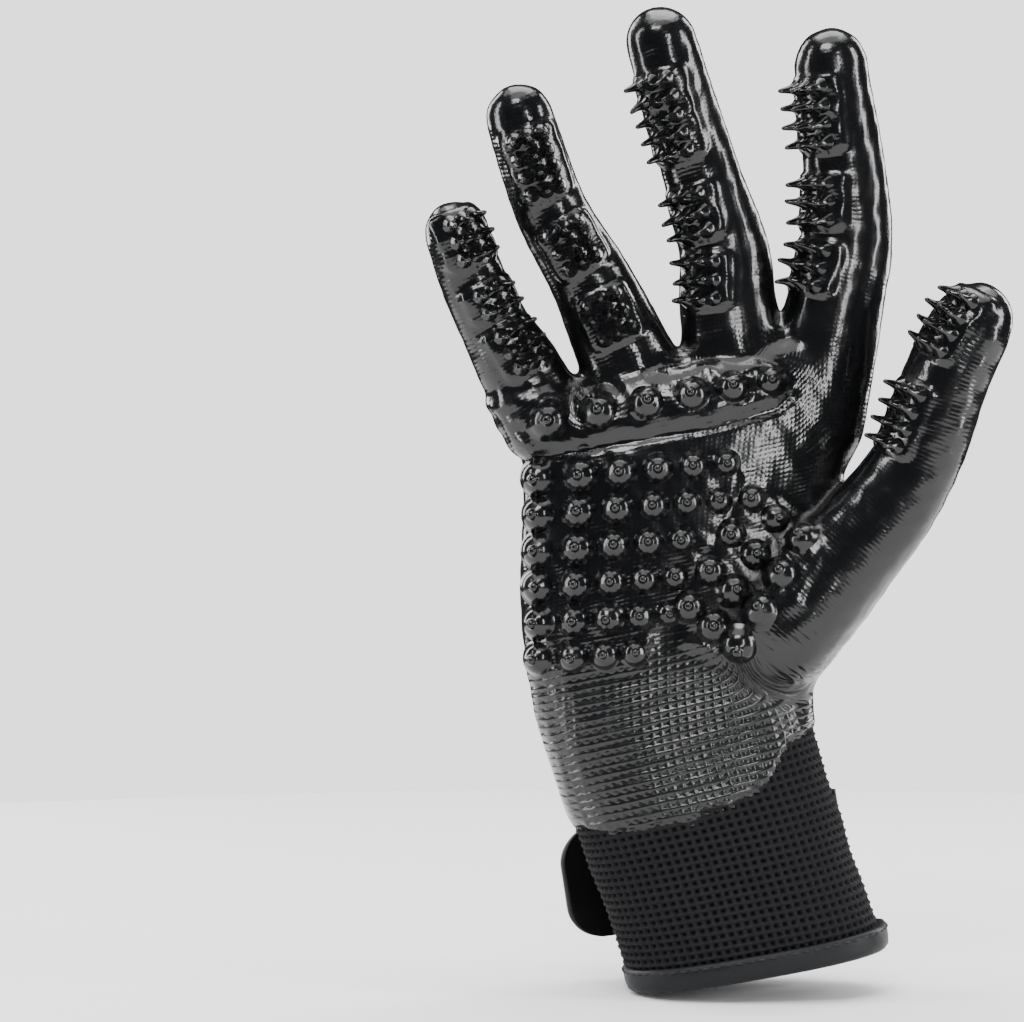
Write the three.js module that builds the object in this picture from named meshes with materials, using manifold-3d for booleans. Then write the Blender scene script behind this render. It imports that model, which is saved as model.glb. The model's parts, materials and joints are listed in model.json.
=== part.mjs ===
// A right-hand pet grooming glove, worn and upright: palm toward -Y, thumb toward +X.
// A seamless knit glove carries a dipped rubber coating with spiked finger pads and nubbed palm
// pads, and a wrist strap that peels off its fastener. Millimetres and degrees, +Z up, and the
// origin is the centre of the cuff opening.
import * as THREE from 'three';
import { mergeVertices } from 'three/addons/utils/BufferGeometryUtils.js';
import Module from 'manifold-3d';

const wasm = await Module();
wasm.setup();

// ---- Driving dimensions ----
const GAP = 0.3; // clearance between pieces that touch
const KNIT = 1.0; // wall of the knit
const COAT = 0.7; // rubber coating
const PATCH = 0.9; // raised rubber under spikes and nubs
const BINDING = 1.1; // folded binding at the hem and the slit
const SPIKE = { height: 5.6, radius: 1.6, pitch: 4.8, columns: 3, across: 4.3 };
const NUB = { radius: 3.7, height: 4.6 };
const STRAP = { thick: 2.0, width: 30, from: -50, to: 19, centre: 25, tilt: 10 };
const TAPE = 0.8; // each half of the hook-and-loop fastener
const BADGE = 0.8; // moulded panel on the strap
const EMBLEM = 0.9; // raised paw on the badge
const THREAD = 0.5; // half thickness of a sewing thread
const NOTCH_MARGIN = 1.5; // extra opening of a joint's notch, past its flexing range
const WRIST_HEIGHT = 55; // where the waffle cuff meets the fine knit
const FINGER_SIDES = 12;
const HAND_SIDES = 20;
const HAND_POWER = 2.5; // how square the hand's oval is: 2 is an ellipse
const FINGER_DEPTH = 0.88; // depth of a finger as a share of its width

// Surfaces are named by their distance outside the knit's outer face.
const COAT_IN = GAP;
const COAT_OUT = COAT_IN + COAT;
const PATCH_IN = COAT_OUT + GAP;
const PATCH_OUT = PATCH_IN + PATCH;

// The hand and cuff: centre, half width, half depth and tilt of each oval, from hem to knuckles.
const HAND = [
  { x: 0, z: 0, wide: 33.5, deep: 23, tilt: 10 },
  { x: -9.5, z: 27, wide: 33.5, deep: 22, tilt: 12 },
  { x: -19, z: WRIST_HEIGHT, wide: 34.5, deep: 20, tilt: 14 },
  { x: -21, z: 80, wide: 39, deep: 18, tilt: 12 },
  { x: -20, z: 110, wide: 42, deep: 17, tilt: 12 },
  { x: -17.5, z: 137, wide: 43.5, deep: 15.5, tilt: 13 },
  { x: -17, z: 151, wide: 41, deep: 12.5, tilt: 14 },
  { x: -16.5, z: 157, wide: 36, deep: 8, tilt: 14 },
];

// Each digit runs from a heel inside the hand, through its joints, to its tip. `wide` is its
// half width at each of those points, `flex` each joint's range, `aim` turns the way it flexes
// and `roll` turns its spikes round it; both are positive toward the thumb.
const DIGITS = [
  {
    name: 'little', aim: 8, roll: 15, joints: ['proximal', 'middle', 'distal'], flex: [38, 30, 30],
    chain: [[-46, 0, 126], [-61.5, 0, 153.5], [-68.6, -1, 165.6], [-75.3, -3.5, 180], [-82, -7, 198]],
    wide: [11.5, 10.5, 9, 8.2, 7.4],
  },
  {
    name: 'ring', aim: -1, roll: 0, joints: ['proximal', 'middle', 'distal'], flex: [38, 30, 30],
    chain: [[-25, 0, 137], [-35.1, 0, 160.1], [-43.2, -1, 177.6], [-54.6, -4, 198], [-65, -10, 228]],
    wide: [12.5, 12, 10.2, 8.8, 8.2],
  },
  {
    name: 'middle', aim: 1, roll: -41, joints: ['proximal', 'middle', 'distal'], flex: [40, 30, 30],
    chain: [[-4, 0, 146], [-7.5, 0, 171.5], [-8.6, -1, 186.5], [-15.6, -4, 209], [-28, -11, 248]],
    wide: [12.8, 12.3, 11.2, 9.4, 8.6],
  },
  {
    name: 'index', aim: -2, roll: -50, joints: ['proximal', 'middle', 'distal'], flex: [40, 30, 30],
    chain: [[15, 0, 142], [20.7, 0, 172.5], [23.7, -1, 188.5], [22.4, -4, 211], [17.4, -10, 243]],
    wide: [13, 12.3, 11.6, 10, 8.6],
  },
  {
    name: 'thumb', aim: -62, roll: 14, joints: ['proximal', 'distal'], flex: [25, 35],
    chain: [[6, -8, 88], [37.2, -14, 125.3], [48.4, -18, 154.4], [59.3, -21, 175]],
    wide: [17, 12.5, 11.3, 9.6],
  },
];

// ---- Colours and finishes ----
const finish = (color, roughness) => new THREE.MeshStandardMaterial({ color, roughness, metalness: 0 });
const FINISH = {
  knit: finish(0x141416, 0.9),
  waffle: finish(0x17171a, 0.92),
  coating: finish(0x08090b, 0.22),
  binding: finish(0x1b1d20, 0.4),
  rubber: finish(0x1d1f22, 0.6),
  emblem: finish(0x5be052, 0.45),
  thread: finish(0x2a2b2e, 0.8),
  tape: finish(0x101012, 0.95),
};

// ---- Solids ----
const vec = (list) => new THREE.Vector3(...list);
const blendOf = (a, b, share) => a.clone().lerp(b, share);
const turned = (vector, axis, degrees) =>
  vector.clone().applyAxisAngle(axis, THREE.MathUtils.degToRad(degrees));

/** A closed three.js geometry as a solid that can be cut and joined. */
function solidOf(geometry) {
  const bare = geometry.clone();
  bare.deleteAttribute('normal');
  bare.deleteAttribute('uv');
  const merged = mergeVertices(bare, 1e-4);
  return new wasm.Manifold(new wasm.Mesh({
    numProp: 3,
    vertProperties: new Float32Array(merged.attributes.position.array),
    triVerts: new Uint32Array(merged.index.array),
  }));
}

/** A solid as a three.js geometry. */
function geometryOf(solid) {
  const mesh = solid.getMesh();
  const geometry = new THREE.BufferGeometry();
  geometry.setAttribute('position', new THREE.BufferAttribute(mesh.vertProperties, 3));
  geometry.setIndex(new THREE.BufferAttribute(mesh.triVerts, 1));
  geometry.computeVertexNormals();
  return geometry;
}

/** What of a solid lies past a plane, on the side that the normal points to. */
const keep = (solid, point, normal) => solid.trimByPlane(normal.toArray(), normal.dot(point));

const join = (solids) => solids.reduce((a, b) => a.add(b));

/** The main body of a solid, without the crumbs that a cut may leave beside it. */
const mainBody = (solid) => solid.decompose().reduce((a, b) => (b.volume() > a.volume() ? b : a));

/** A cylinder drawn along a list of ovals: each has a centre, a side axis and a front axis. */
function loft(ovals, sides, power) {
  const geometry = new THREE.CylinderGeometry(1, 1, 1, sides, ovals.length - 1);
  const place = geometry.attributes.position;
  const square = (value) => Math.sign(value) * Math.abs(value) ** (2 / power);
  const unit = new THREE.Vector3();
  for (let i = 0; i < place.count; i++) {
    unit.fromBufferAttribute(place, i);
    const oval = ovals[Math.round((unit.y + 0.5) * (ovals.length - 1))];
    const point = oval.at.clone()
      .addScaledVector(oval.side, square(unit.x) * oval.wide)
      .addScaledVector(oval.front, square(unit.z) * oval.deep);
    place.setXYZ(i, point.x, point.y, point.z);
  }
  return solidOf(geometry);
}

/** A flat outline in the XZ plane, given as a shape, drawn out along Y from near to far. */
function prism(shape, near, far) {
  const geometry = new THREE.ExtrudeGeometry(shape, { depth: far - near, bevelEnabled: false, curveSegments: 8 });
  geometry.rotateX(Math.PI / 2).translate(0, far, 0);
  return solidOf(geometry);
}

const outline = (points) => new THREE.Shape(points.map(([x, z]) => new THREE.Vector2(x, z)));

// ---- The hand and cuff ----
const PALMAR = new THREE.Vector3(0, -1, 0);

/** The hand's oval solid, grown outward by so much. `drop` lengthens it below the hem. */
function handLoft(growWide, growDeep = growWide, drop = 0) {
  const ovals = HAND.map((section, i) => {
    const side = turned(new THREE.Vector3(1, 0, 0), PALMAR, section.tilt);
    const rise = i === HAND.length - 1 ? growDeep : 0;
    const at = new THREE.Vector3(section.x, 0, section.z + rise - (i === 0 ? drop : 0));
    const wide = section.wide + growWide;
    const deep = section.deep + growDeep;
    return { at, side, front: PALMAR, wide, deep };
  });
  return loft(ovals, HAND_SIDES, HAND_POWER);
}

/** The plane across the hand at a height on its middle line. */
function handPlane(height) {
  const next = HAND.findIndex((section) => section.z > height);
  const [a, b] = [HAND[next - 1], HAND[next]];
  const share = (height - a.z) / (b.z - a.z);
  const tilt = THREE.MathUtils.lerp(a.tilt, b.tilt, share);
  const at = new THREE.Vector3(THREE.MathUtils.lerp(a.x, b.x, share), 0, height);
  return { at, up: turned(new THREE.Vector3(0, 0, 1), PALMAR, tilt) };
}

// ---- The digits ----

/** The directions at each of a digit's points: along it, its flexing side and across. */
function framesOf(digit) {
  const points = digit.chain.map(vec);
  return points.map((at, i) => {
    const before = i > 0 ? at.clone().sub(points[i - 1]).normalize() : null;
    const after = i < points.length - 1 ? points[i + 1].clone().sub(at).normalize() : null;
    const along = (before && after) ? before.add(after).normalize() : (before ?? after);
    const lean = turned(PALMAR, along, digit.aim);
    const front = lean.addScaledVector(along, -lean.dot(along)).normalize();
    const side = along.clone().cross(front);
    return { at, along, front, side };
  });
}

/** The ovals along a digit, rounded at its tip, grown outward by so much. */
function digitOvals(digit, grow) {
  const frames = framesOf(digit);
  const last = frames.length - 1;
  const radius = digit.wide[last];
  const ovals = frames.slice(0, last).map((frame, i) => ({
    ...frame, wide: digit.wide[i] + grow, deep: digit.wide[i] * FINGER_DEPTH + grow,
  }));
  ovals[0].at = ovals[0].at.clone().addScaledVector(ovals[0].along, -grow);
  const crown = frames[last].at.clone().addScaledVector(frames[last].along, -radius);
  for (const angle of [0, 32, 60, 82]) {
    const turn = THREE.MathUtils.degToRad(angle);
    const share = Math.cos(turn);
    ovals.push({
      ...frames[last],
      at: crown.clone().addScaledVector(frames[last].along, (radius + grow) * Math.sin(turn)),
      wide: (radius + grow) * share,
      deep: (radius * FINGER_DEPTH + grow) * share,
    });
  }
  return ovals;
}

const digitLoft = (digit, grow) => loft(digitOvals(digit, grow), FINGER_SIDES, 2);

/** The two planes that end a piece at a joint: square to it behind, notched on the flexing side. */
function notchPlanes(digit, joint, toward) {
  const { at, along, side } = framesOf(digit)[joint];
  const half = digit.flex[joint - 1] / 2 + NOTCH_MARGIN;
  const facing = along.clone().multiplyScalar(toward);
  const start = at.clone().addScaledVector(facing, GAP / 2);
  return [{ start, facing }, { start, facing: turned(facing, side, -toward * half) }];
}

/** The part of a solid before a digit's joint (toward -1) or past it (toward 1). */
function cutAt(solid, digit, joint, toward) {
  return notchPlanes(digit, joint, toward)
    .reduce((left, plane) => keep(left, plane.start, plane.facing), solid);
}

/** The part of a solid between two of a digit's joints, or past the last one. */
function segmentOf(solid, digit, joint) {
  const past = cutAt(solid, digit, joint, 1);
  return joint < digit.joints.length ? cutAt(past, digit, joint + 1, -1) : past;
}

// ---- The knit and its coating ----

/** The whole glove as one solid, grown outward by so much, or open at the hem when shrunk. */
const blank = (grow) =>
  join([handLoft(grow, grow, grow < 0 ? 6 : 0), ...DIGITS.map((digit) => digitLoft(digit, grow))]);

/** All the room past the planes that end the hand at a digit's first joint. */
function roomPast(digit) {
  const room = wasm.Manifold.cube([600, 600, 600], true);
  return join(notchPlanes(digit, 1, -1)
    .map((plane) => keep(room, plane.start, plane.facing.clone().negate())));
}

/** What of a solid belongs to the hand: all but the digits past their first joints. */
const handOnly = (solid) => DIGITS.reduce((left, digit) =>
  left.subtract(digitLoft(digit, PATCH_OUT + GAP).intersect(roomPast(digit))), solid);

/** The slit on the thumb side of the back: a long wedge, open at the hem, widened by so much. */
const slitPrism = (widen) => prism(outline([
  [20.5 - widen, -12], [29 + widen, -12], [17 + widen, 34], [13 + widen, 46 + widen], [10.5 - widen, 46 + widen],
]), 2, 40);

function knitHand() {
  const wrist = handPlane(WRIST_HEIGHT);
  const shell = handOnly(blank(0).subtract(blank(-KNIT)));
  return keep(shell, wrist.at.clone().addScaledVector(wrist.up, GAP / 2), wrist.up);
}

function knitCuff() {
  const wrist = handPlane(WRIST_HEIGHT);
  const shell = handLoft(0).subtract(handLoft(-KNIT, -KNIT, 6));
  const below = keep(shell, wrist.at.clone().addScaledVector(wrist.up, -GAP / 2), wrist.up.clone().negate());
  return below.subtract(slitPrism(0));
}

/** The dipped coating on the palm: it wraps round the edges and ends in a wavy line on the cuff. */
function palmCoating() {
  const edge = outline([
    [-100, 36], [-46, 34], [-19, 38], [1, 47], [8, 57], [30, 64], [100, 70], [100, 220], [-100, 220],
  ]);
  return handOnly(blank(COAT_OUT).subtract(blank(COAT_IN))).intersect(prism(edge, -60, 4));
}

function knitSegment(digit, joint) {
  return segmentOf(digitLoft(digit, 0).subtract(digitLoft(digit, -KNIT)), digit, joint);
}

/** The coating on one segment: it leaves the back bare, except that it caps the tip. */
function coatSegment(digit, joint) {
  const backEdge = 0.3; // share of the depth behind the middle that stays coated
  const tipCap = 13; // how far down the back the coated tip reaches
  const shell = segmentOf(digitLoft(digit, COAT_OUT).subtract(digitLoft(digit, COAT_IN)), digit, joint);
  const { at, front } = framesOf(digit)[joint];
  const edge = at.clone().addScaledVector(front, -backEdge * digit.wide[joint]);
  const palmar = keep(shell, edge, front);
  if (joint < digit.joints.length) {
    return palmar;
  }
  const end = framesOf(digit)[joint + 1];
  const cap = keep(shell, end.at.clone().addScaledVector(end.along, -tipCap), end.along);
  return palmar.add(cap);
}

// ---- Spiked pads ----

/** A spike standing on a point, sunk a little into what it stands on. */
function spike(foot, direction) {
  const cone = new THREE.ConeGeometry(SPIKE.radius, SPIKE.height, 6);
  cone.translate(0, SPIKE.height / 2, 0);
  cone.applyQuaternion(new THREE.Quaternion().setFromUnitVectors(new THREE.Vector3(0, 1, 0), direction));
  cone.translate(foot.x, foot.y, foot.z);
  return solidOf(cone);
}

/** The raised patch of one segment, with its rows of spikes. */
function spikePad(digit, joint) {
  const isTip = joint === digit.joints.length;
  const frames = framesOf(digit);
  const [from, to] = [frames[joint], frames[joint + 1]];
  const along = to.at.clone().sub(from.at);
  const length = along.length();
  along.normalize();
  const low = 3.2;
  const high = length - (isTip ? 0.95 * digit.wide[joint + 1] : 3.2);
  const rows = Math.max(2, Math.round((high - low) / SPIKE.pitch));
  const front = from.front.clone().addScaledVector(along, -from.front.dot(along)).normalize();
  const outward = turned(front, along, digit.roll);
  const across = along.clone().cross(outward);

  const halfWidth = (SPIKE.columns * SPIKE.across) / 2;
  const box = new THREE.BoxGeometry(2 * halfWidth, high - low, 24).translate(0, (low + high) / 2, 12);
  box.applyMatrix4(new THREE.Matrix4().makeBasis(across, along, outward).setPosition(from.at));
  const parts = [segmentOf(digitLoft(digit, PATCH_OUT), digit, joint).intersect(solidOf(box))];

  for (let row = 0; row < rows; row++) {
    const height = low + ((row + 0.5) * (high - low)) / rows;
    const centre = from.at.clone().addScaledVector(along, height);
    const wide = THREE.MathUtils.lerp(digit.wide[joint], digit.wide[joint + 1], height / length);
    for (let column = 0; column < SPIKE.columns; column++) {
      const offset = (column - (SPIKE.columns - 1) / 2) * SPIKE.across;
      const angle = THREE.MathUtils.radToDeg(offset / (wide + PATCH_OUT));
      const ray = turned(outward, along, angle);
      const reach = 1 / Math.hypot(ray.dot(across) / wide, ray.dot(outward) / wide);
      const aside = Math.abs(ray.dot(from.side));
      const oval = reach * THREE.MathUtils.lerp(FINGER_DEPTH, 1, aside * aside);
      const foot = centre.clone().addScaledVector(ray, oval + PATCH_IN + 0.2);
      parts.push(spike(foot, blendOf(ray, outward, 0.5).normalize()));
    }
  }
  return join(parts).subtract(digitLoft(digit, PATCH_IN));
}

// ---- Nubbed pads on the palm ----

/** A low dome with a small knob on it, standing on a point. */
function nub(foot, direction, size) {
  const profile = [[0, -0.5], [1, -0.5], [0.6, 0.42], [0.3, 0.84], [0, 1]]
    .map(([r, h]) => new THREE.Vector2(r * NUB.radius * size, h < 0 ? h : h * NUB.height * size));
  const turnedProfile = new THREE.LatheGeometry(profile, 6);
  turnedProfile.applyQuaternion(new THREE.Quaternion().setFromUnitVectors(new THREE.Vector3(0, 1, 0), direction));
  turnedProfile.translate(foot.x, foot.y, foot.z);
  return solidOf(turnedProfile);
}

const patchFace = new THREE.Mesh(geometryOf(handOnly(blank(PATCH_OUT))), new THREE.MeshBasicMaterial());
patchFace.updateMatrixWorld();

/** Where a line through (x, z) along +Y meets the face of the palm's raised patches. */
function seatOn(x, z) {
  const ray = new THREE.Raycaster(new THREE.Vector3(x, -90, z), new THREE.Vector3(0, 1, 0));
  const [hit] = ray.intersectObject(patchFace);
  return { foot: hit.point, direction: hit.face.normal.clone() };
}

function nubPad(shape, nubs) {
  const patch = handOnly(blank(PATCH_OUT)).intersect(prism(shape, -60, 1));
  const domes = nubs.map(({ x, z, size }) => {
    const { foot, direction } = seatOn(x, z);
    return nub(foot, direction, size);
  });
  return join([patch, ...domes]).subtract(blank(PATCH_IN));
}

/** The band under the fingers: a single slanting row. */
function knucklePad() {
  const nubs = [];
  for (let i = 0; i < 6; i++) {
    const x = -55 + 13.2 * i - 0.42 * i * (i - 1);
    nubs.push({ x, z: 141 + 0.18 * (x + 56), size: 1.05 - 0.06 * i });
  }
  return nubPad(outline([[-70, 132], [-50, 134.5], [6, 145], [7, 157], [-50, 150], [-70, 147]]), nubs);
}

/** The main patch: six rows, whose nubs get smaller and closer toward the thumb. */
function palmPad() {
  const counts = [6, 6, 5, 5, 5, 4];
  const nubs = [];
  counts.forEach((count, row) => {
    let x = -57.5;
    for (let i = 0; i < count; i++) {
      nubs.push({ x, z: 126 - 9.4 * row + 0.08 * (x + 60), size: 0.98 - 0.07 * i - 0.02 * row });
      x += 10.8 - 0.4 * row - 0.55 * i;
    }
  });
  return nubPad(outline([[-75, 129.5], [-5, 134.5], [-5, 126], [-33.5, 77], [-75, 72]]), nubs);
}

/** The patch on the ball of the thumb: four rows that step down and away from the fingers. */
function thenarPad() {
  const nubs = [];
  for (let row = 0; row < 4; row++) {
    for (let column = 0; column < 3; column++) {
      nubs.push({
        x: -2.6 - 5.4 * row + 6.4 * column,
        z: 121 - 9.3 * row - 5 * column,
        size: 0.68 + 0.05 * row + 0.1 * column,
      });
    }
  }
  return nubPad(outline([[-2, 127], [12.5, 115], [14.5, 108], [-1, 82], [-11, 79], [-20.5, 90]]), nubs);
}

// ---- Bindings, strap and fastener ----

/** The shell between two distances outside the cuff, inside an outline on the back of the cuff. */
function onBack(shape, inner, outer, extraWide = 0) {
  const shell = handLoft(outer + extraWide, outer).subtract(handLoft(inner + extraWide, inner));
  return shell.intersect(prism(shape, 3, 60));
}

const HEM_TOP = 4;
const HEM_DROP = 2;

/** A folded strip that grips the hem inside and outside. */
function hemBinding() {
  const { at, up } = handPlane(0.01);
  const outer = GAP + BINDING;
  const fold = handLoft(outer, outer, HEM_DROP).subtract(handLoft(-KNIT - outer, -KNIT - outer, 9));
  const strip = keep(fold, at.clone().addScaledVector(up, HEM_TOP), up.clone().negate());
  const groove = handLoft(GAP).subtract(handLoft(-KNIT - GAP, -KNIT - GAP, 6));
  const above = keep(groove, at.clone().addScaledVector(up, -GAP), up);
  return strip.subtract(above).subtract(slitPrism(0));
}

/** The strip round the edges of the slit, outside the knit. */
function slitBinding() {
  const { at, up } = handPlane(HEM_TOP + GAP + 1);
  const strip = onBack(outline([[5, -12], [45, -12], [45, 40], [30, 56], [5, 56]]), GAP, GAP + BINDING);
  return keep(strip, at, up).intersect(slitPrism(3)).subtract(slitPrism(0));
}

/** The strap's outline, drawn in its own tilted frame: square at the hinge, round at the free end. */
function strapOutline(inset, from = STRAP.from, to = STRAP.to) {
  const half = STRAP.width / 2 - inset;
  const shape = new THREE.Shape();
  shape.moveTo(to - inset, -half);
  shape.lineTo(to - inset, half);
  shape.lineTo(from + inset + half, half);
  shape.absarc(from + inset + half, 0, half, Math.PI / 2, 1.5 * Math.PI, false);
  shape.closePath();
  return placeOnStrap(shape);
}

/** Turns an outline from the strap's frame to the glove's. */
function placeOnStrap(shape) {
  const tilt = THREE.MathUtils.degToRad(STRAP.tilt);
  const turn = new THREE.Vector2();
  const points = shape.getPoints(6).map((p) =>
    turn.copy(p).rotateAround(new THREE.Vector2(), tilt).clone().add(new THREE.Vector2(0, STRAP.centre)));
  return new THREE.Shape(points);
}

const stripOnStrap = (from, to, half) => placeOnStrap(outline([[from, -half], [to, -half], [to, half], [from, half]]));

// Layers on the back of the cuff, from the knit outward.
const LOOP = GAP;
const HOOK = LOOP + TAPE + GAP;
const BACKING = HOOK + TAPE + GAP;
const BADGE_IN = BACKING + STRAP.thick + GAP;
const EMBLEM_IN = BADGE_IN + BADGE + GAP;
const STANDOFF = 9; // the strap's free end stands off the side of the cuff
const ANCHOR = { from: STRAP.to + GAP, to: STRAP.to + 6 };

const strapBacking = () => onBack(strapOutline(0), BACKING, BACKING + STRAP.thick, STANDOFF);
const strapBadge = () => onBack(strapOutline(3.2, STRAP.from, STRAP.to - 6), BADGE_IN, BADGE_IN + BADGE, STANDOFF);
const hookTape = () => onBack(stripOnStrap(-40, -8, 11), HOOK, HOOK + TAPE, STANDOFF);
const loopTape = () => onBack(stripOnStrap(-33, -4, 12), LOOP, LOOP + TAPE);

/** The strap's sewn end, on the thumb side of the slit's edge. */
function strapAnchor() {
  const shape = stripOnStrap(ANCHOR.from, ANCHOR.to, STRAP.width / 2 - 1);
  return onBack(shape, BACKING, BACKING + STRAP.thick, STANDOFF);
}

/** The stitching round the badge: one thread that follows its edge. */
function badgeStitching() {
  const ring = strapOutline(2.1, STRAP.from, STRAP.to - 5);
  ring.holes.push(strapOutline(2.9, STRAP.from, STRAP.to - 5));
  return onBack(ring, BADGE_IN, BADGE_IN + 2 * THREAD, STANDOFF);
}

/** A paw print: a heel pad and four toes, standing on one thin disc. */
function emblem() {
  const centre = [-4, 0];
  const disc = (x, y, rx, ry, turn = 0) => {
    const shape = new THREE.Shape();
    shape.absellipse(centre[0] + x, centre[1] + y, rx, ry, 0, 2 * Math.PI, false, turn);
    return placeOnStrap(shape);
  };
  const raised = [disc(0, -2.6, 4.4, 3.6), disc(-6.2, 1.2, 1.9, 2.5, 0.5), disc(-2.3, 4.6, 2, 2.7, 0.15),
    disc(2.3, 4.6, 2, 2.7, -0.15), disc(6.2, 1.2, 1.9, 2.5, -0.5)];
  const base = onBack(disc(0, 0.6, 9.6, 9.2), EMBLEM_IN, EMBLEM_IN + EMBLEM / 2, STANDOFF);
  return join([base, ...raised.map((shape) => onBack(shape, EMBLEM_IN, EMBLEM_IN + EMBLEM, STANDOFF))]);
}

/** The seam above the hem binding, as one thread on the knit. */
function hemStitching() {
  const { at, up } = handPlane(HEM_TOP + GAP + 0.3);
  const ring = handLoft(GAP + THREAD).subtract(handLoft(GAP));
  const above = keep(ring, at, up);
  const band = keep(above, at.clone().addScaledVector(up, 2 * THREAD), up.clone().negate());
  return band.subtract(slitPrism(4));
}

// ---- Assembly ----
const glove = new THREE.Group();

function add(name, solid, material) {
  const mesh = new THREE.Mesh(geometryOf(mainBody(solid)), material);
  mesh.name = name;
  glove.add(mesh);
}

add('knit_hand', knitHand(), FINISH.knit);
add('knit_cuff', knitCuff(), FINISH.waffle);
add('palm_coating', palmCoating(), FINISH.coating);
add('knuckle_nub_pad', knucklePad(), FINISH.coating);
add('palm_nub_pad', palmPad(), FINISH.coating);
add('thumb_ball_nub_pad', thenarPad(), FINISH.coating);

for (const digit of DIGITS) {
  digit.joints.forEach((segment, i) => {
    add(`${digit.name}_${segment}_knit`, knitSegment(digit, i + 1), FINISH.knit);
    add(`${digit.name}_${segment}_coating`, coatSegment(digit, i + 1), FINISH.coating);
    add(`${digit.name}_${segment}_spike_pad`, spikePad(digit, i + 1), FINISH.coating);
  });
}

add('hem_binding', hemBinding(), FINISH.binding);
add('hem_stitching', hemStitching(), FINISH.thread);
add('slit_binding', slitBinding(), FINISH.binding);
add('strap_loop_tape', loopTape(), FINISH.tape);
add('strap_anchor', strapAnchor(), FINISH.rubber);
add('strap_backing', strapBacking(), FINISH.rubber);
add('strap_hook_tape', hookTape(), FINISH.tape);
add('strap_badge', strapBadge(), FINISH.rubber);
add('strap_stitching', badgeStitching(), FINISH.thread);
add('strap_emblem', emblem(), FINISH.emblem);

export default glove;
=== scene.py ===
"""The looks of a right-hand pet grooming glove: a knit glove dipped in glossy rubber, with spiked
finger pads, a nubbed palm, a waffle-knit cuff and a peel-off wrist strap. Shapes are worked out
in millimetres in the frame's axes, palm toward -Y, and turned into metres as meshes are made."""
import json
import math

import bpy
import numpy as np
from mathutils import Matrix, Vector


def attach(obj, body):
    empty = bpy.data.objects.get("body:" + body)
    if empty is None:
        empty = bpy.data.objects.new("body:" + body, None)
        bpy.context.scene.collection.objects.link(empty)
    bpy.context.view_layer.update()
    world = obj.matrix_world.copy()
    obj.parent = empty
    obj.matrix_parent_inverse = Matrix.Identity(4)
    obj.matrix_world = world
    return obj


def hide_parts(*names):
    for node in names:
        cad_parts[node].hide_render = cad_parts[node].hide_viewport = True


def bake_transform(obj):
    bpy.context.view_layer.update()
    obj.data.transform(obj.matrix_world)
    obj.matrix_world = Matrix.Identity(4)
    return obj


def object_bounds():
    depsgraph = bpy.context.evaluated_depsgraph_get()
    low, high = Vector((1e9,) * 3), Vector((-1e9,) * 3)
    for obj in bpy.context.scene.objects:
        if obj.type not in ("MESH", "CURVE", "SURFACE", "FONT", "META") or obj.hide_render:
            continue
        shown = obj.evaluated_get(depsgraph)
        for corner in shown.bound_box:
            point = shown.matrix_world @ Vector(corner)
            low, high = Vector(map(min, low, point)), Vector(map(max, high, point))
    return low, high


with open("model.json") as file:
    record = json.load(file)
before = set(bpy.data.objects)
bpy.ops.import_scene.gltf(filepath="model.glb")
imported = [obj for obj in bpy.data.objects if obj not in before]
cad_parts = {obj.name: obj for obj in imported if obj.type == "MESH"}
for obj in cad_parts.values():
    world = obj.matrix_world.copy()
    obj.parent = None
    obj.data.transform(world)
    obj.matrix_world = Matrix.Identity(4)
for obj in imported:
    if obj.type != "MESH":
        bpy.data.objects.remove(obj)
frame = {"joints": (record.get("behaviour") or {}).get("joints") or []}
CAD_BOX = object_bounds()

import openvdb as vdb
from mathutils import Vector
from mathutils.bvhtree import BVHTree

MM = 0.001
rng = np.random.default_rng(7)

# ---- Driving dimensions, in millimetres and degrees ----
# The hand's ovals from hem to knuckles: x, z, half width, half depth, tilt.
HAND = np.array([
    (0, 0, 33.5, 23, 10), (-9.5, 27, 33.5, 22, 12), (-19, 55, 34.5, 20, 14), (-21, 80, 39, 18, 12),
    (-20, 110, 42, 17, 12), (-17.5, 137, 43.5, 15.5, 13), (-17, 151, 41, 12.5, 14), (-16.5, 157, 36, 8, 14),
], float)
HAND_POWER = 2.5  # how square the hand's oval is
FINGER_DEPTH = 0.88  # depth of a finger as a share of its width
# Each digit's heel inside the hand, its tip and half widths, how far round it its spikes are rolled, and the
# rows of spikes on each of its segments from the knuckle out.
DIGITS = {
    "little": dict(heel=(-46, 0, 126), tip=(-82, -7, 198), wide=(11.5, 10.5, 9, 8.2, 7.4), roll=15,
                 rows=(3, 2, 3)),
    "ring": dict(heel=(-25, 0, 137), tip=(-65, -10, 228), wide=(12.5, 12, 10.2, 8.8, 8.2), roll=0,
                 rows=(3, 3, 4)),
    "middle": dict(heel=(-4, 0, 146), tip=(-28, -11, 248), wide=(12.8, 12.3, 11.2, 9.4, 8.6), roll=-41,
                 rows=(3, 3, 5)),
    "index": dict(heel=(15, 0, 142), tip=(17.4, -10, 243), wide=(13, 12.3, 11.6, 10, 8.6), roll=-50,
                 rows=(3, 3, 4)),
    "thumb": dict(heel=(6, -8, 88), tip=(59.3, -21, 175), wide=(17, 12.5, 11.3, 9.6), roll=14,
                 rows=(4, 4)),
}
VOXEL = 0.95
WEB = 4.5  # how far the skin rounds off between neighbours
COAT = 0.55  # how far the coating stands off the knit
CREASE = 0.9  # how deep the fold under the knuckles is
PATCH = 1.0  # how far a spiked or nubbed patch stands off the coating
KNIT_REACH = 1.6  # how far the knit runs on under the coating's edge
COAT_REACH = 1.0  # how far the coating's own skin runs on past that edge, under the knit
OUTSIDE = -9.0  # the depth given to points well outside a patch
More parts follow.
